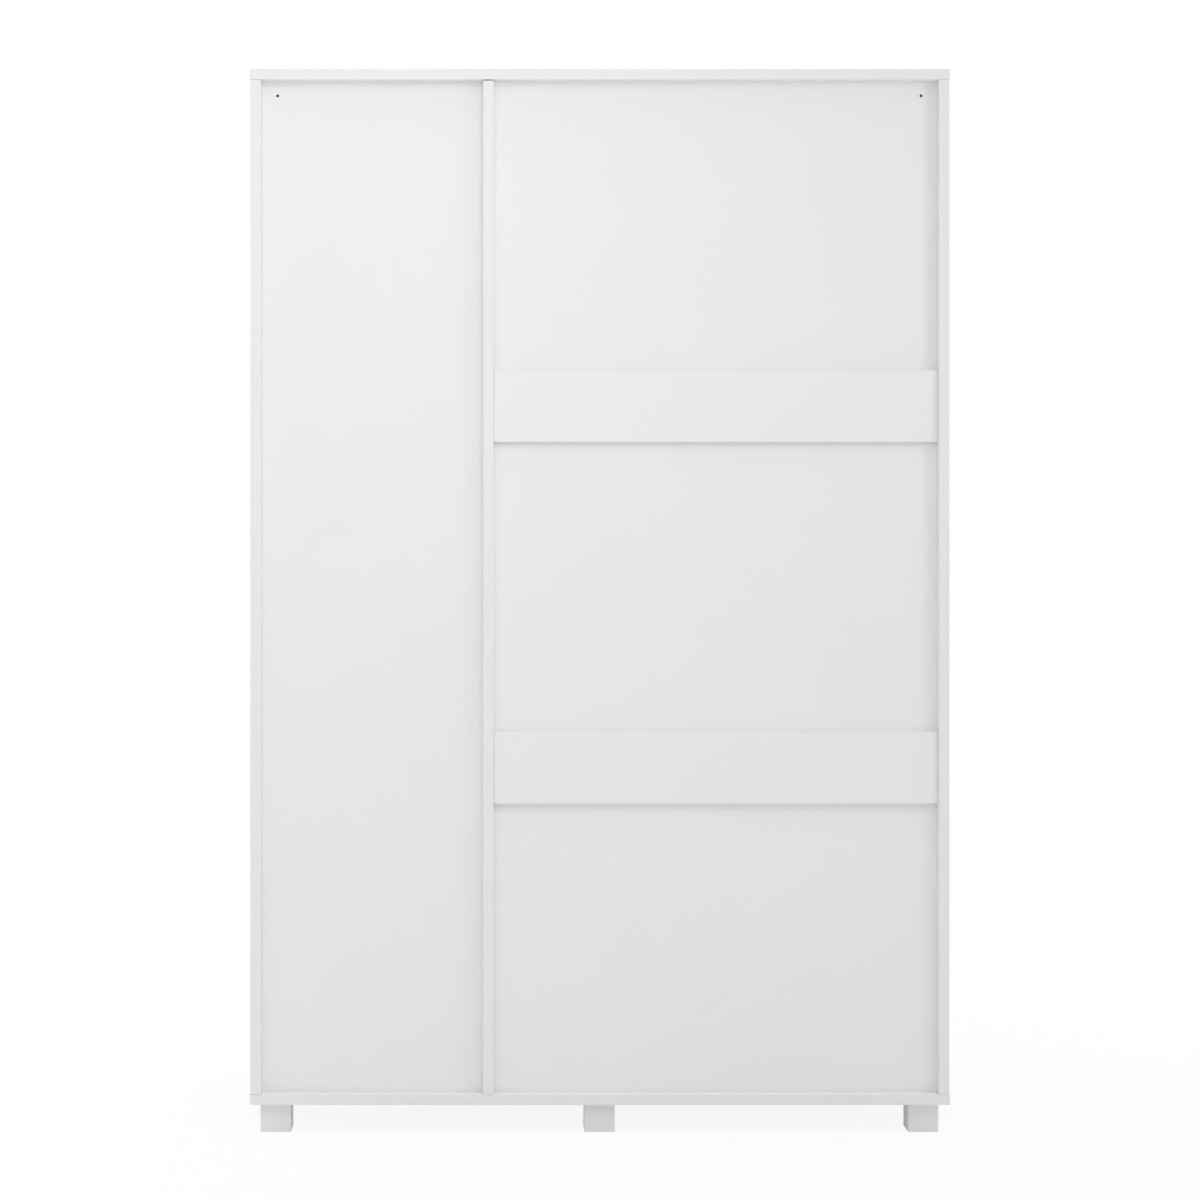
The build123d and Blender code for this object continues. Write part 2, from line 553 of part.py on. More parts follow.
def carriage(name, corner, panel, x, y):
    """A moulded roller carriage let into the lower edge of a door, with its axle and screws."""
    node = f"{name}_{corner}_carriage"
    bottom = DOOR_Z[0]
    slot_half = ROLLER_WIDTH / 2 + CARRIAGE_SIDE_ROOM
    body_half = slot_half + CARRIAGE_CHEEK
    slot_radius = ROLLER_RADIUS + CARRIAGE_ROOM
    top = AXLE_Z + slot_radius + CARRIAGE_ROOF
    half = CARRIAGE_LENGTH / 2
    flange_length = CARRIAGE_LENGTH + 2 * CARRIAGE_EAR
    flange_width = DOOR_BOARD - 2 * CARRIAGE_EDGE

    body = block((x - half, x + half), (y - body_half, y + body_half), (bottom, top))
    body = fillet(body.edges().filter_by(Axis.Y).group_by(Axis.Z)[-1], CARRIAGE_ROUND)
    flange = extrude(RectangleRounded(flange_length, flange_width, CARRIAGE_ROUND), CARRIAGE_FLANGE)
    body += Pos(x, y, bottom - CARRIAGE_FLANGE) * flange
    arch = Cylinder(slot_radius, 2 * slot_half, align=FROM_BASE)
    arch = Plane((x, y - slot_half, AXLE_Z), z_dir=BACKWARD) * arch
    arch += block(
        (x - slot_radius, x + slot_radius), (y - slot_half, y + slot_half),
        (bottom - CARRIAGE_FLANGE - OVERCUT, AXLE_Z))
    keep(node, body)
    cut(node, arch)
    cut(node, bore((x, y - body_half, AXLE_Z), BACKWARD, AXLE_RADIUS + AXLE_FIT, 2 * body_half + OVERCUT))
    cut(panel, block(
        (x - half - POCKET_ROOM, x + half + POCKET_ROOM),
        (y - body_half - POCKET_ROOM, y + body_half + POCKET_ROOM),
        (bottom - OVERCUT, top + POCKET_ROOM)))

    axle_half = body_half - AXLE_INSET
    axle = Cylinder(AXLE_RADIUS, 2 * axle_half, align=FROM_BASE)
    keep(f"{name}_axles", Plane((x, y - axle_half, AXLE_Z), z_dir=BACKWARD) * axle)
    for step in (-half - CARRIAGE_EAR / 2, half + CARRIAGE_EAR / 2):
        spot = (x + step, y, bottom - CARRIAGE_FLANGE)
        screw(f"{name}_screws", spot, UP, DOOR_SCREW_LENGTH, node, panel)


def roller(node, x, y):
    """A turned roller: a hub, a thinner web and a rim whose tapered groove sits over a track rib."""
    low = AXLE_RADIUS + AXLE_FIT
    half = ROLLER_WIDTH / 2
    web = ROLLER_WEB / 2
    root = ROLLER_GROOVE_ROOT / 2
    mouth = ROLLER_GROOVE_MOUTH / 2
    keep(node, turned(
        (x, y, AXLE_Z), BACKWARD,
        (low, -half), (ROLLER_HUB, -half), (ROLLER_HUB, -web), (ROLLER_RIM_INNER, -web),
        (ROLLER_RIM_INNER, -half), (ROLLER_RADIUS, -half), (ROLLER_RADIUS, -mouth), (ROLLER_ROOT, -root),
        (ROLLER_ROOT, root), (ROLLER_RADIUS, mouth), (ROLLER_RADIUS, half), (ROLLER_RIM_INNER, half),
        (ROLLER_RIM_INNER, web), (ROLLER_HUB, web), (ROLLER_HUB, half), (low, half)))


def guide(name, corner, panel, x, y):
    """A moulded guide on top of a door, whose hollow tongue runs in a channel of the upper track."""
    node = f"{name}_{corner}_guide"
    top = CEILING - TRACK_WALL - GUIDE_HEADROOM
    base_top = DOOR_Z[1] + GUIDE_BASE
    width = CHANNEL_WIDTH - 2 * GUIDE_SIDE_ROOM
    base_width = DOOR_BOARD - 2 * CARRIAGE_EDGE
    base = extrude(RectangleRounded(GUIDE_BASE_LENGTH, base_width, CARRIAGE_ROUND), GUIDE_BASE)
    tongue = extrude(RectangleRounded(GUIDE_TONGUE_LENGTH, width, GUIDE_TONGUE_ROUND), top - base_top)
    well = Box(
        GUIDE_TONGUE_LENGTH - 2 * GUIDE_WALL, width - 2 * GUIDE_WALL, top - base_top, align=FROM_BASE)
    form = base + (Pos(0, 0, GUIDE_BASE) * tongue) - (Pos(0, 0, GUIDE_BASE + GUIDE_FLOOR) * well)
    keep(node, Pos(x, y, DOOR_Z[1]) * form)
    reach = GUIDE_BASE_LENGTH / 2 - GUIDE_SCREW_INSET
    for step in (-reach, reach):
        screw(f"{name}_screws", (x + step, y, base_top), DOWN, DOOR_SCREW_LENGTH, node, panel)


carcass()
back()
shelves()
hanging_rod()
tracks()
feet()
bumpers()
door("outer_door", -1, OUTER_DOOR_Y)
door("inner_door", 1, INNER_DOOR_Y)

os.makedirs("parts", exist_ok=True)
for node, solids in pieces.items():
    if node in cuts:
        solids = [solid - cuts[node] for solid in solids]
    export_step(Compound([solid for shape in solids for solid in shape.solids()]), f"parts/{node}.step")
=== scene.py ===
import bmesh
import bpy
import math
import numpy as np
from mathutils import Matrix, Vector


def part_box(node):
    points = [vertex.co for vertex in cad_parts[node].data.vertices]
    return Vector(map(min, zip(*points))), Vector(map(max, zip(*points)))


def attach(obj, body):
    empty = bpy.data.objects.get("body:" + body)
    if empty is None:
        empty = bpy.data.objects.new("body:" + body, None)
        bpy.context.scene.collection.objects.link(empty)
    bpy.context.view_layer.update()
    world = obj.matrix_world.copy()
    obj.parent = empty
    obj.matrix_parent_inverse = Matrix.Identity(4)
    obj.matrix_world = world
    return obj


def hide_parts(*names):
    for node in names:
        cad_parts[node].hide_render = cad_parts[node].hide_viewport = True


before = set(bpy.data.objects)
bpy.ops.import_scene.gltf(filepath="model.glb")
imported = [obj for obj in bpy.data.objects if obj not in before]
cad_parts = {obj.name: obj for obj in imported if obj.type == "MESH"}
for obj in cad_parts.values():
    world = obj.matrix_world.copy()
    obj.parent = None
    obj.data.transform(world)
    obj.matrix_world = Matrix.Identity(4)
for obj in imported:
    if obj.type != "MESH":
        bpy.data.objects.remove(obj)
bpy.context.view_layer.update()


# Feet: six square blocks moulded in white polypropylene, hollow below with cross ribs. Each is
# held to the bottom panel by two countersunk screws, driven up through its plate.
MM = 0.001


def linear(code):
    """Turns an sRGB hex colour to linear light: a small channel is divided by 12.92, and a larger
    one gets 0.055 added, is divided by 1.055 and is raised to the power 2.4."""
    channels = np.array([int(code[at:at + 2], 16) for at in (1, 3, 5)]) / 255
    curved = ((channels + 0.055) / 1.055) ** 2.4
    return (*np.where(channels <= 0.04045, channels / 12.92, curved), 1.0)


def add_node(tree, kind, links=None, values=None, **settings):
    """Adds a node with its settings and socket values, and links its inputs to other outputs."""
    node = tree.nodes.new("ShaderNode" + kind)
    for name, value in settings.items():
        setattr(node, name, value)
    for socket, value in (values or {}).items():
        node.inputs[socket].default_value = value
    for socket, output in (links or {}).items():
        tree.links.new(output, node.inputs[socket])
    return node


def new_finish(name):
    """Starts an empty node material, and gives it and its tree."""
    material = bpy.data.materials.new(name)
    material.use_nodes = True
    material.node_tree.nodes.clear()
    return material, material.node_tree


def dress(material, *nodes):
    """Gives a finish to nodes that keep their CAD shape."""
    for node in nodes:
        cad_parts[node].material_slots[0].material = material


# Polypropylene from a spark-eroded tool: an even matt grain and hardly any change of tone.
# The grain is about 0.2 mm, and is drawn at 0.8 mm so that it shows.
foot_plastic, tree = new_finish("moulded_polypropylene")
place = add_node(tree, "TexCoord").outputs["Object"]
clouds = add_node(tree, "TexNoise", {"Vector": place}, {"Scale": 1 / (30 * MM), "Detail": 3})
tone = add_node(tree, "Mix", {0: clouds.outputs[0]}, {6: linear("#ECECEC"), 7: linear("#F1F1F1")},
                data_type="RGBA")
grain = add_node(tree, "TexNoise", {"Vector": place}, {"Scale": 1 / (0.8 * MM), "Detail": 2})
bump = add_node(tree, "Bump", {"Height": grain.outputs[0]}, {"Strength": 0.35, "Distance": 0.04 * MM})
shader = add_node(tree, "BsdfPrincipled", {"Base Color": tone.outputs[2], "Normal": bump.outputs[0]},
                  {"Roughness": 0.52, "IOR": 1.49})
add_node(tree, "OutputMaterial", {"Surface": shader.outputs["BSDF"]})
feet = [f"{row}_{column}_foot" for row in ("front", "rear") for column in ("left", "centre", "right")]
dress(foot_plastic, *feet)


# Foot screws: countersunk wood screws of zinc-plated steel, with a cross recess in a flat head.
# They are cold headed, thread rolled and plated, and sit with their heads level.
FOOT_PLATE = 4 * MM
FOOT_SCREW_STEP = 11 * MM
FOOT_SCREW_LENGTH = 16 * MM
SCREW_HEAD = 3.5 * MM
SCREW_RIM = 0.1 * MM
SCREW_NECK = 1.8 * MM
SCREW_CREST = 1.75 * MM
SCREW_ROOT = 1.2 * MM
SCREW_TIP = 3 * MM
SCREW_PITCH = 2 * MM
STEPS_PER_PITCH = 4
# The cross recess is set out on rings of these radii, each with a depth in the arms and one between
# them, and on the angles of one quarter turn, in degrees.
RECESS_RADII = np.array([0, 0.55, 0.75, 1.3, 1.85, 2.0, 2.9, 3.35]) * MM
RECESS_ARM = np.array([1.5, 1.4, 1.35, 1.1, 0.85, 0, 0, 0]) * MM
RECESS_BETWEEN = np.array([1.5, 1.4, 0, 0, 0, 0, 0, 0]) * MM
RECESS_TURNS = np.array([-13, -11, 0, 11, 13, 29, 45, 61])
ARM_HALF_TURN = 12
# Each screw stops a golden angle on from the one before it, in radians.
GOLDEN_ANGLE = 2.4
MERGE_GAP = 0.001 * MM
SHARP_ANGLE = math.radians(35)


def middle_of(node):
    """The middle of a node's box: the mean of its lowest and highest corners."""
    low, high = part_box(node)
    return (low + high) / 2


def grid_faces(rows, columns, closed):
    """Quads of a grid: each joins a point, the next in its row, and the two below them. In a closed
    grid the last column is joined to the first."""
    index = np.arange(rows * columns).reshape(rows, columns)
    if closed:
        index = np.hstack([index, index[:, :1]])
    corners = (index[:-1, :-1], index[:-1, 1:], index[1:, 1:], index[1:, :-1])
    return np.stack(corners, axis=-1).reshape(-1, 4)


def make_piece(name, points, faces, material, body, slot, *nodes):
    """Makes a mesh of points and quads: unused points go, doubles merge, faces turn outwards and
    edges past the sharp angle stay sharp. It rides on a body and stands for CAD nodes."""
    used, faces = np.unique(faces, return_inverse=True)
    mesh = bpy.data.meshes.new(name)
    mesh.from_pydata(points.reshape(-1, 3)[used], [], faces.reshape(-1, 4))
    solid = bmesh.new()
    solid.from_mesh(mesh)
    bmesh.ops.remove_doubles(solid, verts=solid.verts, dist=MERGE_GAP)
    bmesh.ops.recalc_face_normals(solid, faces=solid.faces)
    solid.to_mesh(mesh)
    solid.free()
    mesh.shade_smooth()
    mesh.set_sharp_from_angle(angle=SHARP_ANGLE)
    mesh.materials.append(material)
    piece = bpy.data.objects.new(name, mesh)
    bpy.context.scene.collection.objects.link(piece)
    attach(piece, body)
    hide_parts(*nodes)


def screw_surface(length):
    """One screw along +Z, its head level at zero, as a grid of depth rows and angle columns.

    The rows cross the head, where the arms sink to one depth and the part between to another,
    then follow the cone and the shank. The shank's radius goes from root to crest by a triangle
    wave of depth over pitch less angle over a full turn, and shrinks in a line to the point.
    """
    turns = np.radians(np.concatenate([RECESS_TURNS + quarter for quarter in (0, 90, 180, 270)]))
    arms = np.tile(np.abs(RECESS_TURNS) < ARM_HALF_TURN, 4)
    head_radius = np.tile(RECESS_RADII[:, None], (1, turns.size))
    head_depth = np.where(arms, RECESS_ARM[:, None], RECESS_BETWEEN[:, None])
    steps = round((length - SCREW_NECK) / SCREW_PITCH * STEPS_PER_PITCH)
    depth = np.linspace(SCREW_NECK, length, steps)[:, None]
    phase = (depth / SCREW_PITCH - turns / (2 * np.pi)) % 1
    thread = SCREW_ROOT + (SCREW_CREST - SCREW_ROOT) * np.abs(2 * phase - 1)
    shank_radius = thread * np.clip((length - depth) / SCREW_TIP, 0, 1)
    rim = np.full((1, turns.size), SCREW_HEAD)
    radius = np.vstack([head_radius, rim, shank_radius])
    level = np.vstack([head_depth, np.full_like(rim, SCREW_RIM), np.tile(depth, (1, turns.size))])
    points = np.stack([radius * np.cos(turns), radius * np.sin(turns), level], axis=-1)
    return points, grid_faces(*radius.shape, closed=True)


def drive_screws(node, body, groups):
    """Puts a screw at each spot of each group of spots, axis and length, turned by a golden angle
    from the one before it, as screws never stop at the same turn."""
    points = []
    faces = []
    count = 0
    for spots, axis, length in groups:
        surface, quads = screw_surface(length)
        inward = np.array(axis, float)
        across = np.cross(inward, (0, 0, 1) if abs(inward[2]) < 0.5 else (1, 0, 0))
        beside = np.cross(inward, across)
        for spot in np.array(spots, float):
            turn = GOLDEN_ANGLE * count
            first = across * np.cos(turn) + beside * np.sin(turn)
            second = beside * np.cos(turn) - across * np.sin(turn)
            faces.append(quads + sum(block.size // 3 for block in points))
            points.append(surface @ np.array([first, second, inward]) + spot)
            count += 1
    flat = np.concatenate([block.reshape(-1, 3) for block in points])
    make_piece(f"{node}_cross_recess", flat, np.concatenate(faces), zinc_plate, body,
               "zinc_plated_steel", node)


# Zinc plate, clear passivated: a bright grey metal with faint clouds and a soft gloss.
zinc_plate, tree = new_finish("zinc_plated_steel")
place = add_node(tree, "TexCoord").outputs["Object"]
clouds = add_node(tree, "TexNoise", {"Vector": place}, {"Scale": 1 / (3 * MM), "Detail": 4})
tone = add_node(tree, "Mix", {0: clouds.outputs[0]}, {6: linear("#B9BCC0"), 7: linear("#CFD0CE")},
                data_type="RGBA")
gloss = add_node(tree, "MapRange", {"Value": clouds.outputs[0]}, {"To Min": 0.24, "To Max": 0.42})
shader = add_node(tree, "BsdfPrincipled", {"Base Color": tone.outputs[2], "Roughness": gloss.outputs[0]},
                  {"Metallic": 1.0})
add_node(tree, "OutputMaterial", {"Surface": shader.outputs["BSDF"]})

foot_spots = []
for foot in feet:
    middle = middle_of(foot)
    plate_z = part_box(foot)[1].z - FOOT_PLATE
    foot_spots += [(middle.x + step, middle.y + step, plate_z)
                   for step in (-FOOT_SCREW_STEP, FOOT_SCREW_STEP)]
drive_screws("foot_screws", "carcass", [(foot_spots, (0, 0, 1), FOOT_SCREW_LENGTH)])


# Carcass boards: bottom and top panels, two sides and the divider, of 18 mm chipboard faced with
# white melamine paper and edged with a glued plastic band. Cams and dowels join them.
BAND = 0.8 * MM
BAND_SEAM = 0.12 * MM
# Width of the line at cut ends: bare chipboard, darkened by painted shade of the joint's gap.
CUT_END_SHADE_LINE = 0.45 * MM
ALONG_X = 0
ALONG_Z = 2


def melamine(board, cut_axis=None):
    """White melamine for one board. Clouds and pebbles are noise. The band shows where the smaller
    distance to the banded sides, which is half a side less the distance from its middle, is under
    the band's thickness, and the glue line where it is close to it. The ends across the cut axis
    butt against another board and have no band. There a fine line of bare chipboard is painted in a
    grey that is darkened to stand for painted shade in the hairline gap of the joint."""
    low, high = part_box(board)
    half = (high - low) / 2
    thin = min(range(3), key=lambda axis: half[axis])
    material, tree = new_finish(f"melamine_{board}")
    place = add_node(tree, "TexCoord").outputs["Object"]
    centred = add_node(tree, "VectorMath", {0: place}, {1: middle_of(board)}, operation="SUBTRACT")
    folded = add_node(tree, "VectorMath", {0: centred.outputs[0]}, operation="ABSOLUTE")
    inset = add_node(tree, "VectorMath", {1: folded.outputs[0]}, {0: half}, operation="SUBTRACT")
    insets = add_node(tree, "SeparateXYZ", {0: inset.outputs[0]}).outputs
    banded_sides = [insets[axis] for axis in range(3) if axis not in (thin, cut_axis)]
    nearest = add_node(tree, "Math", {0: banded_sides[0], 1: banded_sides[-1]},
                       operation="MINIMUM").outputs[0]
    on_band = add_node(tree, "Math", {0: nearest}, {1: BAND}, operation="LESS_THAN").outputs[0]
    on_seam = add_node(tree, "Math", {0: nearest}, {1: BAND, 2: BAND_SEAM},
                       operation="COMPARE").outputs[0]
    # Melamine paper is an even white with clouds that can only just be seen.
    clouds = add_node(tree, "TexNoise", {"Vector": place}, {"Scale": 1 / (220 * MM), "Detail": 3})
    face = add_node(tree, "Mix", {0: clouds.outputs[0]}, {6: linear("#EFEFEF"), 7: linear("#F2F2F2")},
                    data_type="RGBA").outputs[2]
    banded = add_node(tree, "Mix", {0: on_band, 6: face}, {7: linear("#EEEEEE")},
                      data_type="RGBA").outputs[2]
    tone = add_node(tree, "Mix", {0: on_seam, 6: banded}, {7: linear("#C4C4C4")},
                    data_type="RGBA").outputs[2]
    # Painted shade: the cut-end line is bare chipboard, made darker and greyer to stand for the shade in
    # the butt joint's hairline gap.
    if cut_axis is not None:
        on_shaded_cut_end = add_node(tree, "Math", {0: insets[cut_axis]}, {1: CUT_END_SHADE_LINE}, operation="LESS_THAN")
        tone = add_node(tree, "Mix", {0: on_shaded_cut_end.outputs[0], 6: tone}, {7: linear("#A39D94")},
                        data_type="RGBA").outputs[2]
    # The press plate leaves pebbles of about 0.4 mm, drawn at 1.2 mm so that they show.
    pebbles = add_node(tree, "TexNoise", {"Vector": place}, {"Scale": 1 / (1.2 * MM), "Detail": 2})
    bump = add_node(tree, "Bump", {"Height": pebbles.outputs[0]}, {"Strength": 0.25, "Distance": 0.03 * MM})
    gloss = add_node(tree, "MapRange", {"Value": clouds.outputs[0]}, {"To Min": 0.40, "To Max": 0.50})
    shader = add_node(tree, "BsdfPrincipled",
                      {"Base Color": tone, "Roughness": gloss.outputs[0], "Normal": bump.outputs[0]},
                      {"IOR": 1.5})
    add_node(tree, "OutputMaterial", {"Surface": shader.outputs["BSDF"]})
    return material


for board in ("bottom_panel", "top_panel"):
    dress(melamine(board), board)
for board in ("left_side_panel", "divider_panel", "right_side_panel"):
    dress(melamine(board, ALONG_Z), board)


# Cams, bolts and caps: a die-cast zinc cam turns in the held board and draws in the head of a
# steel bolt, and a white plastic cap pressed over the cam hides it.
# Die-cast zinc is a dull grey metal, mottled by its mould in spots of about 1.5 mm.
cam_zinc, tree = new_finish("die_cast_zinc")
place = add_node(tree, "TexCoord").outputs["Object"]
clouds = add_node(tree, "TexNoise", {"Vector": place}, {"Scale": 1 / (1.5 * MM), "Detail": 5})
tone = add_node(tree, "Mix", {0: clouds.outputs[0]}, {6: linear("#8F9193"), 7: linear("#A9ABAB")},
                data_type="RGBA")
bump = add_node(tree, "Bump", {"Height": clouds.outputs[0]}, {"Strength": 0.4, "Distance": 0.05 * MM})
shader = add_node(tree, "BsdfPrincipled", {"Base Color": tone.outputs[2], "Normal": bump.outputs[0]},
                  {"Metallic": 1.0, "Roughness": 0.5})
add_node(tree, "OutputMaterial", {"Surface": shader.outputs["BSDF"]})
dress(cam_zinc, "cam_locks")
dress(zinc_plate, "cam_bolts")

# Polystyrene caps: white, a little glossier than the board round them.
cap_plastic, tree = new_finish("moulded_polystyrene")
place = add_node(tree, "TexCoord").outputs["Object"]
clouds = add_node(tree, "TexNoise", {"Vector": place}, {"Scale": 1 / (8 * MM), "Detail": 2})
tone = add_node(tree, "Mix", {0: clouds.outputs[0]}, {6: linear("#EBEBEB"), 7: linear("#F1F1F1")},
                data_type="RGBA")
gloss = add_node(tree, "MapRange", {"Value": clouds.outputs[0]}, {"To Min": 0.28, "To Max": 0.36})
shader = add_node(tree, "BsdfPrincipled", {"Base Color": tone.outputs[2], "Roughness": gloss.outputs[0]},
                  {"IOR": 1.59})
add_node(tree, "OutputMaterial", {"Surface": shader.outputs["BSDF"]})
dress(cap_plastic, "cam_caps")


# Dowels: turned beech pins, glued half into a board's end and half into the next board's face.
# Beech is a warm pale brown with short darker flecks of about 2 mm.
beech, tree = new_finish("turned_beech")
place = add_node(tree, "TexCoord").outputs["Object"]
flecks = add_node(tree, "TexNoise", {"Vector": place},
                  {"Scale": 1 / (2 * MM), "Detail": 4, "Distortion": 0.6})
tone = add_node(tree, "Mix", {0: flecks.outputs[0]}, {6: linear("#D2AC7E"), 7: linear("#B4865A")},
                data_type="RGBA")
bump = add_node(tree, "Bump", {"Height": flecks.outputs[0]}, {"Strength": 0.3, "Distance": 0.05 * MM})
shader = add_node(tree, "BsdfPrincipled", {"Base Color": tone.outputs[2], "Normal": bump.outputs[0]},
                  {"Roughness": 0.6, "IOR": 1.5})
add_node(tree, "OutputMaterial", {"Surface": shader.outputs["BSDF"]})
dress(beech, "wood_dowels", "rail_dowels")


# Back sheets: 3 mm hardboard, lacquered white, slid into grooves in the boards. A sheet is held
# only at its grooves and rails, so between them it bows out a little. Two have a hole for a wall screw.
SHEET_STEP = 12 * MM
GROOVE_INSERT = 5 * MM
NARROW_BOW = 1.0 * MM
LOWER_BOW = 0.6 * MM
MIDDLE_BOW = 1.5 * MM
UPPER_BOW = 0.8 * MM
HOLE_RADIUS = 2.5 * MM
HOLE_FROM_SIDE = 27 * MM
HOLE_FROM_TOP = 24 * MM
# Round a hole, nine closer grid lines cover a square block, and a square ring of their points is
# drawn in to the hole's circle. The sheet's own lines keep clear of that block.
HOLE_BLOCK = 8 * MM
HOLE_LINES = 9
HOLE_CLEAR = 9.6 * MM
HOLE_RING = 6 * MM
RING_MARGIN = 0.1 * MM


def sheet_lines(low, high, drilled):
    """Grid lines a step apart, with closer ones round a drilled hole in place of those near it."""
    lines = np.linspace(low, high, round((high - low) / SHEET_STEP) + 1)
    if drilled is None:
        return lines
    near = drilled + np.linspace(-HOLE_BLOCK, HOLE_BLOCK, HOLE_LINES)
    return np.sort(np.concatenate([lines[np.abs(lines - drilled) > HOLE_CLEAR], near]))


def edge_loop(index):
    """The points round a block of a grid, in order, with the first one again at the end."""
    loop = np.concatenate([index[0, :-1], index[:-1, -1], index[-1, :0:-1], index[:0:-1, 0]])
    return np.append(loop, loop[0])


def bowed_sheet(node, free_z, bow, hole=None):
    """A sheet as two grids a thickness apart, closed round its edge and its hole.

    With u and v the shares of the free width and height, both faces stand out by bow times
    sin(pi u) times sin(pi v). The hole takes out the cells inside a square ring of points, and
    the ring is moved along its rays to the hole's circle.
    """
    low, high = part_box(node)
    hole_x, hole_z = hole or (None, None)
    x, z = np.meshgrid(sheet_lines(low.x, high.x, hole_x), sheet_lines(low.z, high.z, hole_z))
    u = np.clip((x - low.x - GROOVE_INSERT) / (high.x - low.x - 2 * GROOVE_INSERT), 0, 1)
    v = np.clip((z - free_z[0]) / (free_z[1] - free_z[0]), 0, 1)
    out = bow * np.sin(np.pi * u) * np.sin(np.pi * v)
    index = np.arange(x.size).reshape(x.shape)
    quads = grid_faces(*x.shape, closed=False)
    loops = [edge_loop(index)]
    if hole:
        square = np.maximum(np.abs(x - hole_x), np.abs(z - hole_z))
        ring = np.abs(square - HOLE_RING) < RING_MARGIN
        inside = square < HOLE_RING + RING_MARGIN
        quads = quads[~inside.ravel()[quads].all(axis=1)]
        rows, columns = np.where(inside)
        loops.append(edge_loop(index[rows.min():rows.max() + 1, columns.min():columns.max() + 1]))
        reach = np.where(ring, HOLE_RADIUS / np.maximum(np.hypot(x - hole_x, z - hole_z), HOLE_RADIUS), 1)
        x = hole_x + (x - hole_x) * reach
        z = hole_z + (z - hole_z) * reach
    rear = np.stack([x, high.y + out, z], axis=-1).reshape(-1, 3)
    front = np.stack([x, low.y + out, z], axis=-1).reshape(-1, 3)
    walls = [np.stack([loop[:-1], loop[1:], loop[1:] + x.size, loop[:-1] + x.size], axis=-1)
             for loop in loops]
    faces = np.concatenate([quads[:, ::-1], quads + x.size, *walls])
    make_piece(f"bowed_{node}", np.concatenate([rear, front]), faces, lacquer, "carcass",
               "white_back_sheet", node)


# Lacquered hardboard: an even white, smoother than the boards. The curtain-coated lacquer keeps
# a faint orange peel of about 2 mm.
lacquer, tree = new_finish("lacquered_hardboard")
place = add_node(tree, "TexCoord").outputs["Object"]
clouds = add_node(tree, "TexNoise", {"Vector": place}, {"Scale": 1 / (160 * MM), "Detail": 3})
tone = add_node(tree, "Mix", {0: clouds.outputs[0]}, {6: linear("#EFEFEF"), 7: linear("#F2F2F2")},
                data_type="RGBA")
peel = add_node(tree, "TexNoise", {"Vector": place}, {"Scale": 1 / (2 * MM), "Detail": 2})
bump = add_node(tree, "Bump", {"Height": peel.outputs[0]}, {"Strength": 0.2, "Distance": 0.03 * MM})
gloss = add_node(tree, "MapRange", {"Value": clouds.outputs[0]}, {"To Min": 0.46, "To Max": 0.54})
shader = add_node(tree, "BsdfPrincipled",
                  {"Base Color": tone.outputs[2], "Roughness": gloss.outputs[0], "Normal": bump.outputs[0]},
                  {"IOR": 1.48})
add_node(tree, "OutputMaterial", {"Surface": shader.outputs["BSDF"]})

floor_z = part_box("bottom_panel")[1].z
ceiling_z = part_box("top_panel")[0].z
lower_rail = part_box("back_rail_lower")
upper_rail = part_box("back_rail_upper")
hole_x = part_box("right_side_panel")[0].x - HOLE_FROM_SIDE
hole_z = ceiling_z - HOLE_FROM_TOP
bowed_sheet("back_sheet_narrow", (floor_z, ceiling_z), NARROW_BOW, (hole_x, hole_z))
bowed_sheet("back_sheet_lower", (floor_z, lower_rail[0].z), LOWER_BOW)
bowed_sheet("back_sheet_middle", (lower_rail[1].z, upper_rail[0].z), MIDDLE_BOW)
bowed_sheet("back_sheet_upper", (upper_rail[1].z, ceiling_z), UPPER_BOW, (-hole_x, hole_z))


# Back rails: two strips of 12 mm melamine board across the wide bay, over the joints of the back
# sheets. Two dowels in each end hold them to the side and the divider.
for board in ("back_rail_lower", "back_rail_upper"):
    dress(melamine(board), board)


# Shelves: the hat shelf and the fixed shelf are cammed to the uprights, and three more lie loose
# on steel pins pushed into rows of 5 mm holes. All are the same board as the carcass.
for board in ("hat_shelf", "fixed_shelf"):
    dress(melamine(board, ALONG_X), board)
for board in ("adjustable_shelf_1", "adjustable_shelf_2", "adjustable_shelf_3"):
    dress(melamine(board), board)
dress(zinc_plate, "shelf_pins")


# Hanging rod: an oval tube of chromed steel. Its ends lie in two chromed zinc sockets, each held
# by two screws.
SOCKET_PLATE = 3 * MM
SOCKET_SCREW_INSET = 8 * MM
SOCKET_SCREW_LENGTH = 14 * MM

# Bright chrome: a clear mirror. Polishing leaves hairlines along the tube, a few hundredths of a
# millimetre wide, drawn at 0.8 mm so that they show.
chrome, tree = new_finish("bright_chrome")
place = add_node(tree, "TexCoord").outputs["Object"]
lengthwise = add_node(tree, "Mapping", {"Vector": place},
                      {"Scale": (1 / (120 * MM), 1 / (0.8 * MM), 1 / (0.8 * MM))})
polish = add_node(tree, "TexNoise", {"Vector": lengthwise.outputs[0]}, {"Scale": 1.0, "Detail": 3})
gloss = add_node(tree, "MapRange", {"Value": polish.outputs[0]}, {"To Min": 0.05, "To Max": 0.14})
tone = add_node(tree, "Mix", {0: polish.outputs[0]}, {6: linear("#D6D8DB"), 7: linear("#E4E5E7")},
                data_type="RGBA")
shader = add_node(tree, "BsdfPrincipled", {"Base Color": tone.outputs[2], "Roughness": gloss.outputs[0]},
                  {"Metallic": 1.0})
add_node(tree, "OutputMaterial", {"Surface": shader.outputs["BSDF"]})
dress(chrome, "hanging_rod", "rod_socket_left", "rod_socket_right")

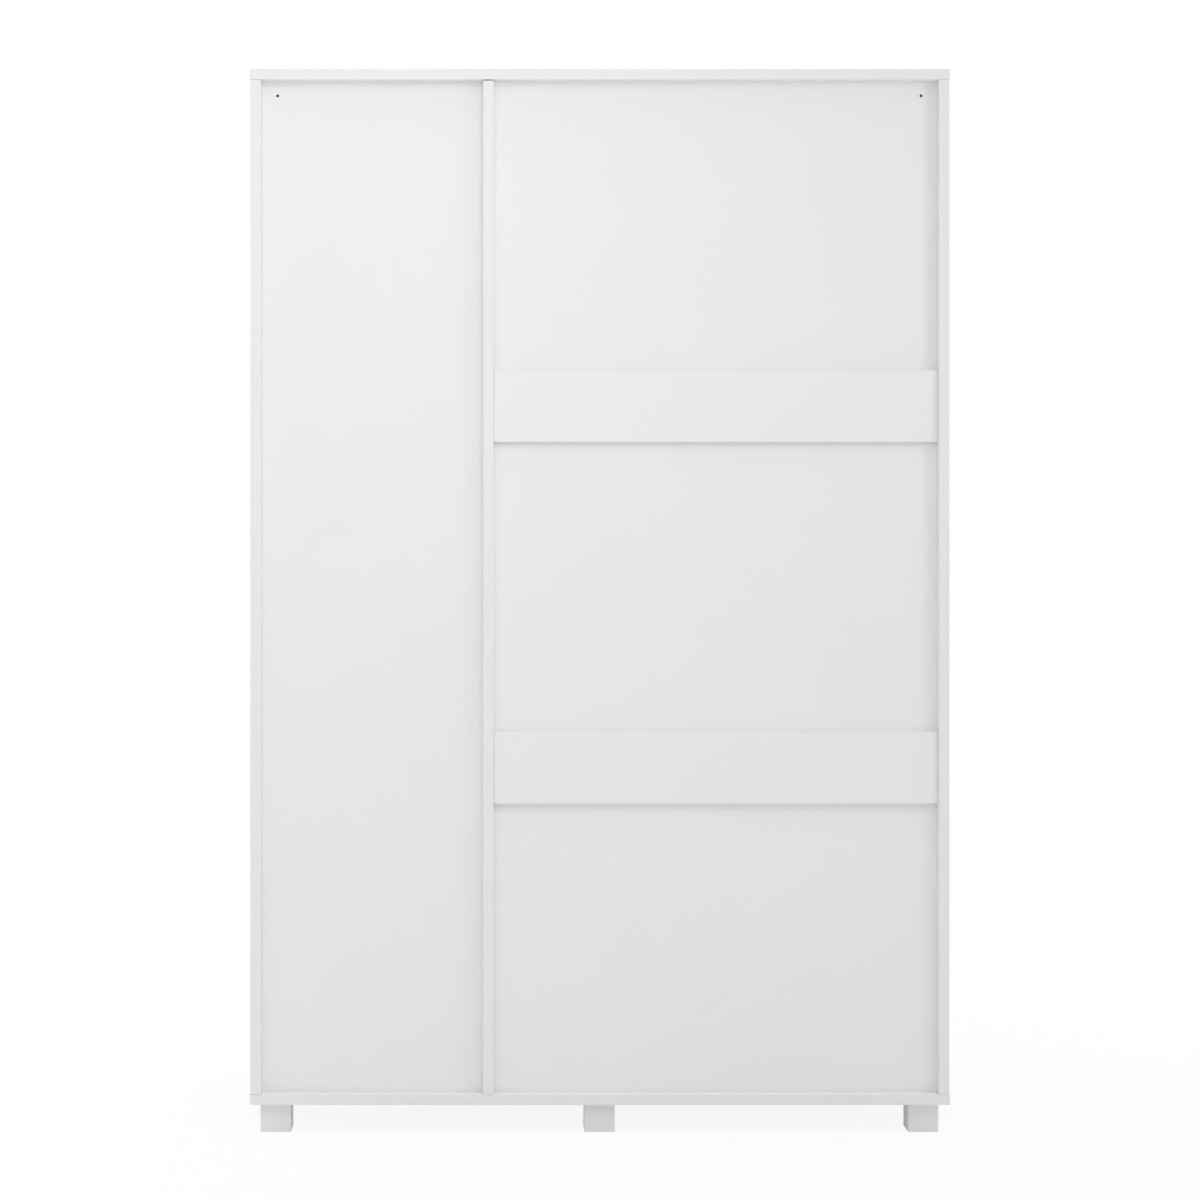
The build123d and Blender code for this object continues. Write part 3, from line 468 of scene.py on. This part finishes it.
socket_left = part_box("rod_socket_left")
socket_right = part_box("rod_socket_right")
rod_y = middle_of("rod_socket_left").y
screw_levels = (socket_left[0].z + SOCKET_SCREW_INSET, socket_left[1].z - SOCKET_SCREW_INSET)
left_spots = [(socket_left[0].x + SOCKET_PLATE, rod_y, level) for level in screw_levels]
right_spots = [(socket_right[1].x - SOCKET_PLATE, rod_y, level) for level in screw_levels]
drive_screws("rod_socket_screws", "carcass", [(left_spots, (-1, 0, 0), SOCKET_SCREW_LENGTH),
                                              (right_spots, (1, 0, 0), SOCKET_SCREW_LENGTH)])


# Tracks: extruded aluminium, naturally anodised. The lower one has two ribs for the rollers, the
# upper one two channels for the guides behind a fascia. Screws hold them to the panels.
TRACK_WEB = 2 * MM
TRACK_SCREWS = 4
TRACK_SCREW_LENGTH = 13 * MM

# Anodised aluminium: a soft silver. The die leaves lines along the length, about 0.1 mm apart,
# drawn at 0.5 mm so that they show.
anodised, tree = new_finish("anodised_aluminium")
place = add_node(tree, "TexCoord").outputs["Object"]
lengthwise = add_node(tree, "Mapping", {"Vector": place},
                      {"Scale": (1 / (300 * MM), 1 / (0.5 * MM), 1 / (0.5 * MM))})
lines = add_node(tree, "TexNoise", {"Vector": lengthwise.outputs[0]}, {"Scale": 1.0, "Detail": 3})
tone = add_node(tree, "Mix", {0: lines.outputs[0]}, {6: linear("#C2C4C6"), 7: linear("#D0D1D2")},
                data_type="RGBA")
gloss = add_node(tree, "MapRange", {"Value": lines.outputs[0]}, {"To Min": 0.30, "To Max": 0.44})
bump = add_node(tree, "Bump", {"Height": lines.outputs[0]}, {"Strength": 0.2, "Distance": 0.02 * MM})
shader = add_node(tree, "BsdfPrincipled",
                  {"Base Color": tone.outputs[2], "Roughness": gloss.outputs[0], "Normal": bump.outputs[0]},
                  {"Metallic": 1.0})
add_node(tree, "OutputMaterial", {"Surface": shader.outputs["BSDF"]})
dress(anodised, "bottom_track", "top_track")

# The lower screws stand between the ribs of the two doors, the upper ones in the inner channel.
outer_y = middle_of("outer_door_panel").y
inner_y = middle_of("inner_door_panel").y
lower_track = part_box("bottom_track")
track_pitch = (lower_track[1].x - lower_track[0].x) / TRACK_SCREWS
track_x = [lower_track[0].x + (index + 0.5) * track_pitch for index in range(TRACK_SCREWS)]
lower_spots = [(x, (outer_y + inner_y) / 2, floor_z + TRACK_WEB) for x in track_x]
upper_spots = [(x, inner_y, ceiling_z - TRACK_WEB) for x in track_x]
drive_screws("track_screws", "carcass", [(lower_spots, (0, 0, -1), TRACK_SCREW_LENGTH),
                                         (upper_spots, (0, 0, 1), TRACK_SCREW_LENGTH)])


# Bumpers: milky polyurethane domes, cast flat on a liner and stuck to the side panels where the
# doors' edges arrive. The glue under them is 0.05 mm thick.
BUMPER_RADIUS = 6 * MM
BUMPER_RISE = 3 * MM
BUMPER_GLUE = 0.05 * MM
DOME_RINGS = 9
DOME_SIDES = 32
DOME_FULLNESS = 0.7


def bumper_domes(spots):
    """Domes as a grid of rise and angle: the radius is the base radius times the cosine of a rising
    angle to the power of the fullness, the height the rise times its sine, and the base closes to
    its middle."""
    rising = np.linspace(0, np.pi / 2, DOME_RINGS)[:, None]
    turns = np.linspace(0, 2 * np.pi, DOME_SIDES, endpoint=False)
    radius = np.vstack([[[0]], BUMPER_RADIUS * np.clip(np.cos(rising), 0, 1) ** DOME_FULLNESS])
    height = BUMPER_GLUE + np.vstack([[[0]], (BUMPER_RISE - BUMPER_GLUE) * np.sin(rising)])
    quads = grid_faces(radius.size, turns.size, closed=True)
    points = []
    for x, y, z in spots:
        inward = -math.copysign(1, x)
        across = np.tile(x + inward * height, (1, turns.size))
        dome = np.stack([across, y + radius * np.cos(turns), z + radius * np.sin(turns)], axis=-1)
        points.append(dome.reshape(-1, 3))
    faces = [quads + index * radius.size * turns.size for index in range(len(points))]
    make_piece("door_bumper_domes", np.concatenate(points), np.concatenate(faces), polyurethane,
               "carcass", "clear_rubber", "door_bumpers")


# Polyurethane: half clear and softly glossy, with a skin that wavers a little.
polyurethane, tree = new_finish("cast_polyurethane")
place = add_node(tree, "TexCoord").outputs["Object"]
waver = add_node(tree, "TexNoise", {"Vector": place}, {"Scale": 1 / (3 * MM), "Detail": 1})
gloss = add_node(tree, "MapRange", {"Value": waver.outputs[0]}, {"To Min": 0.08, "To Max": 0.2})
shader = add_node(tree, "BsdfPrincipled", {"Roughness": gloss.outputs[0]},
                  {"Base Color": linear("#E6E8E8"), "Transmission Weight": 0.5, "IOR": 1.49})
add_node(tree, "OutputMaterial", {"Surface": shader.outputs["BSDF"]})

bumper_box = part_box("door_bumpers")
bumper_domes([(x, y, z) for x in (bumper_box[0].x, bumper_box[1].x) for y in (outer_y, inner_y)
              for z in (bumper_box[0].z + BUMPER_RADIUS, bumper_box[1].z - BUMPER_RADIUS)])


# Doors: two 18 mm melamine boards that pass each other. Each has a flush pull of satin aluminium,
# pressed from sheet and let into its front.
DOORS = ("outer_door", "inner_door")

# Satin aluminium: brushing along the pull leaves lines of about 0.05 mm, drawn at 0.4 mm so that
# they show, which spread its shine.
satin, tree = new_finish("satin_aluminium")
place = add_node(tree, "TexCoord").outputs["Object"]
upright = add_node(tree, "Mapping", {"Vector": place},
                   {"Scale": (1 / (0.4 * MM), 1 / (0.4 * MM), 1 / (25 * MM))})
lines = add_node(tree, "TexNoise", {"Vector": upright.outputs[0]}, {"Scale": 1.0, "Detail": 3})
tone = add_node(tree, "Mix", {0: lines.outputs[0]}, {6: linear("#BFC1C3"), 7: linear("#D3D4D5")},
                data_type="RGBA")
gloss = add_node(tree, "MapRange", {"Value": lines.outputs[0]}, {"To Min": 0.28, "To Max": 0.42})
bump = add_node(tree, "Bump", {"Height": lines.outputs[0]}, {"Strength": 0.25, "Distance": 0.02 * MM})
shader = add_node(tree, "BsdfPrincipled",
                  {"Base Color": tone.outputs[2], "Roughness": gloss.outputs[0], "Normal": bump.outputs[0]},
                  {"Metallic": 1.0})
add_node(tree, "OutputMaterial", {"Surface": shader.outputs["BSDF"]})
for door in DOORS:
    dress(melamine(f"{door}_panel"), f"{door}_panel")
    dress(satin, f"{door}_pull")


# Running gear: nylon carriages and grooved nylon rollers in the lower edge of each door, with steel
# axles, and nylon guides on the upper edge. Two screws hold each carriage and each guide.
CARRIAGE_SCREW_INSET = 9 * MM
GUIDE_SCREW_INSET = 6 * MM
GUIDE_PLATE = 3 * MM
DOOR_SCREW_LENGTH = 16 * MM

# Natural nylon: a warm milky white. Its moulded matt grain is about 0.2 mm, and is drawn at 0.6 mm
# so that it shows.
nylon, tree = new_finish("natural_nylon")
place = add_node(tree, "TexCoord").outputs["Object"]
clouds = add_node(tree, "TexNoise", {"Vector": place}, {"Scale": 1 / (12 * MM), "Detail": 3})
tone = add_node(tree, "Mix", {0: clouds.outputs[0]}, {6: linear("#E2E0D8"), 7: linear("#EBEAE4")},
                data_type="RGBA")
grain = add_node(tree, "TexNoise", {"Vector": place}, {"Scale": 1 / (0.6 * MM), "Detail": 2})
bump = add_node(tree, "Bump", {"Height": grain.outputs[0]}, {"Strength": 0.25, "Distance": 0.03 * MM})
shader = add_node(tree, "BsdfPrincipled", {"Base Color": tone.outputs[2], "Normal": bump.outputs[0]},
                  {"Roughness": 0.42, "IOR": 1.53})
add_node(tree, "OutputMaterial", {"Surface": shader.outputs["BSDF"]})
for door in DOORS:
    guide_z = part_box(f"{door}_panel")[1].z + GUIDE_PLATE
    door_y = middle_of(f"{door}_panel").y
    carriage_spots = []
    guide_spots = []
    for corner in ("left", "right"):
        dress(nylon, *[f"{door}_{corner}_{piece}" for piece in ("carriage", "roller", "guide")])
        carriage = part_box(f"{door}_{corner}_carriage")
        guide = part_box(f"{door}_{corner}_guide")
        carriage_spots += [(carriage[0].x + CARRIAGE_SCREW_INSET, door_y, carriage[0].z),
                           (carriage[1].x - CARRIAGE_SCREW_INSET, door_y, carriage[0].z)]
        guide_spots += [(guide[0].x + GUIDE_SCREW_INSET, door_y, guide_z),
                        (guide[1].x - GUIDE_SCREW_INSET, door_y, guide_z)]
    dress(zinc_plate, f"{door}_axles")
    drive_screws(f"{door}_screws", door, [(carriage_spots, (0, 0, 1), DOOR_SCREW_LENGTH),
                                          (guide_spots, (0, 0, -1), DOOR_SCREW_LENGTH)])


# Studio: a pale floor that shows as white to the eye and keeps a soft shadow, a white surround that
# lights most from overhead and a little more from one side, and four soft lamps: a gridded one high
# behind, turned to an upper corner of the back, one high before the front, and one at each side.
FLOOR_REACH = 15
FLOOR_LINES = 7
FLOOR_WHITE_NEAR = 0.9
FLOOR_NEAR = 0.8
FLOOR_FAR = 2.5
AMBIENT_DIM = 0.3
AMBIENT_BRIGHT = 0.44
AMBIENT_FACING = 0.19
AMBIENT_OVERHEAD = 0.9
OVERHEAD_FROM = 0.5


def seen_directly(tree):
    """One where a ray comes from the eye, a mirror or glass, and zero where it only brings light."""
    path = add_node(tree, "LightPath").outputs
    eye = add_node(tree, "Math", {0: path["Is Camera Ray"], 1: path["Is Glossy Ray"]}, operation="MAXIMUM")
    seen = add_node(tree, "Math", {0: eye.outputs[0], 1: path["Is Transmission Ray"]}, operation="MAXIMUM")
    return seen.outputs[0]


def add_lamp(name, place, aim, size, power, spread=180):
    """A square soft lamp at a place, turned to a point, that lights but isn't seen. A grid before
    it narrows the spread of its light, which then fades away from its aim."""
    lamp = bpy.data.lights.new(name, "AREA")
    lamp.size = size
    lamp.energy = power
    lamp.spread = math.radians(spread)
    holder = bpy.data.objects.new(name, lamp)
    holder.location = place
    holder.rotation_euler = (Vector(aim) - Vector(place)).to_track_quat("-Z", "Y").to_euler()
    holder.visible_camera = False
    bpy.context.scene.collection.objects.link(holder)


pale_floor, tree = new_finish("pale_studio_floor")
place = add_node(tree, "TexCoord").outputs["Object"]
distance = add_node(tree, "VectorMath", {0: place}, operation="LENGTH")
# Far from the wardrobe the floor is as white as the surround, so that no horizon shows.
white_share = add_node(tree, "MapRange", {"Value": distance.outputs["Value"]},
                       {"From Min": FLOOR_NEAR, "From Max": FLOOR_FAR,
                        "To Min": FLOOR_WHITE_NEAR, "To Max": 1.0})
share = add_node(tree, "Math", {0: seen_directly(tree), 1: white_share.outputs[0]}, operation="MULTIPLY")
matt = add_node(tree, "BsdfDiffuse", {}, {"Color": linear("#F2F2F2")})
white = add_node(tree, "Emission", {}, {"Color": linear("#FFFFFF"), "Strength": 1.0})
blend = add_node(tree, "MixShader", {0: share.outputs[0], 1: matt.outputs[0], 2: white.outputs[0]})
add_node(tree, "OutputMaterial", {"Surface": blend.outputs[0]})
reach = np.linspace(-FLOOR_REACH, FLOOR_REACH, FLOOR_LINES)
floor_x, floor_y = np.meshgrid(reach, reach)
floor_mesh = bpy.data.meshes.new("studio_floor")
floor_points = np.stack([floor_x, floor_y, np.zeros_like(floor_x)], axis=-1).reshape(-1, 3)
floor_mesh.from_pydata(floor_points, [], grid_faces(FLOOR_LINES, FLOOR_LINES, closed=False))
floor_mesh.materials.append(pale_floor)
floor = bpy.data.objects.new("studio_floor", floor_mesh)
bpy.context.scene.collection.objects.link(floor)

world = bpy.data.worlds.new("white_studio")
world.use_nodes = True
tree = world.node_tree
tree.nodes.clear()
# The strength falls along X, grows with the size of Y, and grows with Z in the upper part of the sky.
direction = add_node(tree, "TexCoord").outputs["Generated"]
ways = add_node(tree, "SeparateXYZ", {0: direction}).outputs
sideways = add_node(tree, "MapRange", {"Value": ways["X"]},
                    {"From Min": -1.0, "From Max": 1.0, "To Min": AMBIENT_BRIGHT, "To Max": AMBIENT_DIM})
facing = add_node(tree, "Math", {0: ways["Y"]}, operation="ABSOLUTE")
level = add_node(tree, "Math", {0: facing.outputs[0], 2: sideways.outputs[0]}, {1: AMBIENT_FACING},
                 operation="MULTIPLY_ADD")
overhead = add_node(tree, "MapRange", {"Value": ways["Z"]},
                    {"From Min": OVERHEAD_FROM, "From Max": 1.0, "To Min": 0.0, "To Max": AMBIENT_OVERHEAD})
strength = add_node(tree, "Math", {0: level.outputs[0], 1: overhead.outputs[0]}, operation="ADD")
ambient = add_node(tree, "Background", {"Strength": strength.outputs[0]}, {"Color": linear("#FFFFFF")})
surround = add_node(tree, "Background", {}, {"Color": linear("#FFFFFF"), "Strength": 1.0})
blend = add_node(tree, "MixShader", {0: seen_directly(tree), 1: ambient.outputs[0], 2: surround.outputs[0]})
add_node(tree, "OutputWorld", {"Surface": blend.outputs[0]})
scene = bpy.context.scene
scene.world = world
scene.view_settings.view_transform = "Standard"

add_lamp("rear_lamp", place=(0.3, 2.04, 2.17), aim=(1.0, 0.275, 1.1), size=1.43, power=5.7, spread=120)
add_lamp("left_lamp", place=(-1.65, 1.41, 1.86), aim=(-0.4, 0.275, 1.0), size=0.52, power=3.7)
add_lamp("right_lamp", place=(2.4, -0.4, 1.7), aim=(0.6, 0.0, 0.9), size=1.0, power=13)
add_lamp("front_lamp", place=(-0.95, -2.5, 2.35), aim=(-0.1, -0.275, 0.9), size=2.0, power=17)


# Camera: level and square to the rear, a little to one side of the middle, with its frame shifted
# to where the photograph has the wardrobe.
camera_data = bpy.data.cameras.new("camera")
camera_data.sensor_width = 36
camera_data.lens = 74.6
camera_data.shift_x = 0.0792
camera_data.shift_y = -0.0458
camera = bpy.data.objects.new("camera", camera_data)
camera.location = (0.1626, 4.535, 1.0094)
camera.rotation_euler = (math.radians(90), 0, math.radians(180))
scene.collection.objects.link(camera)
scene.camera = camera
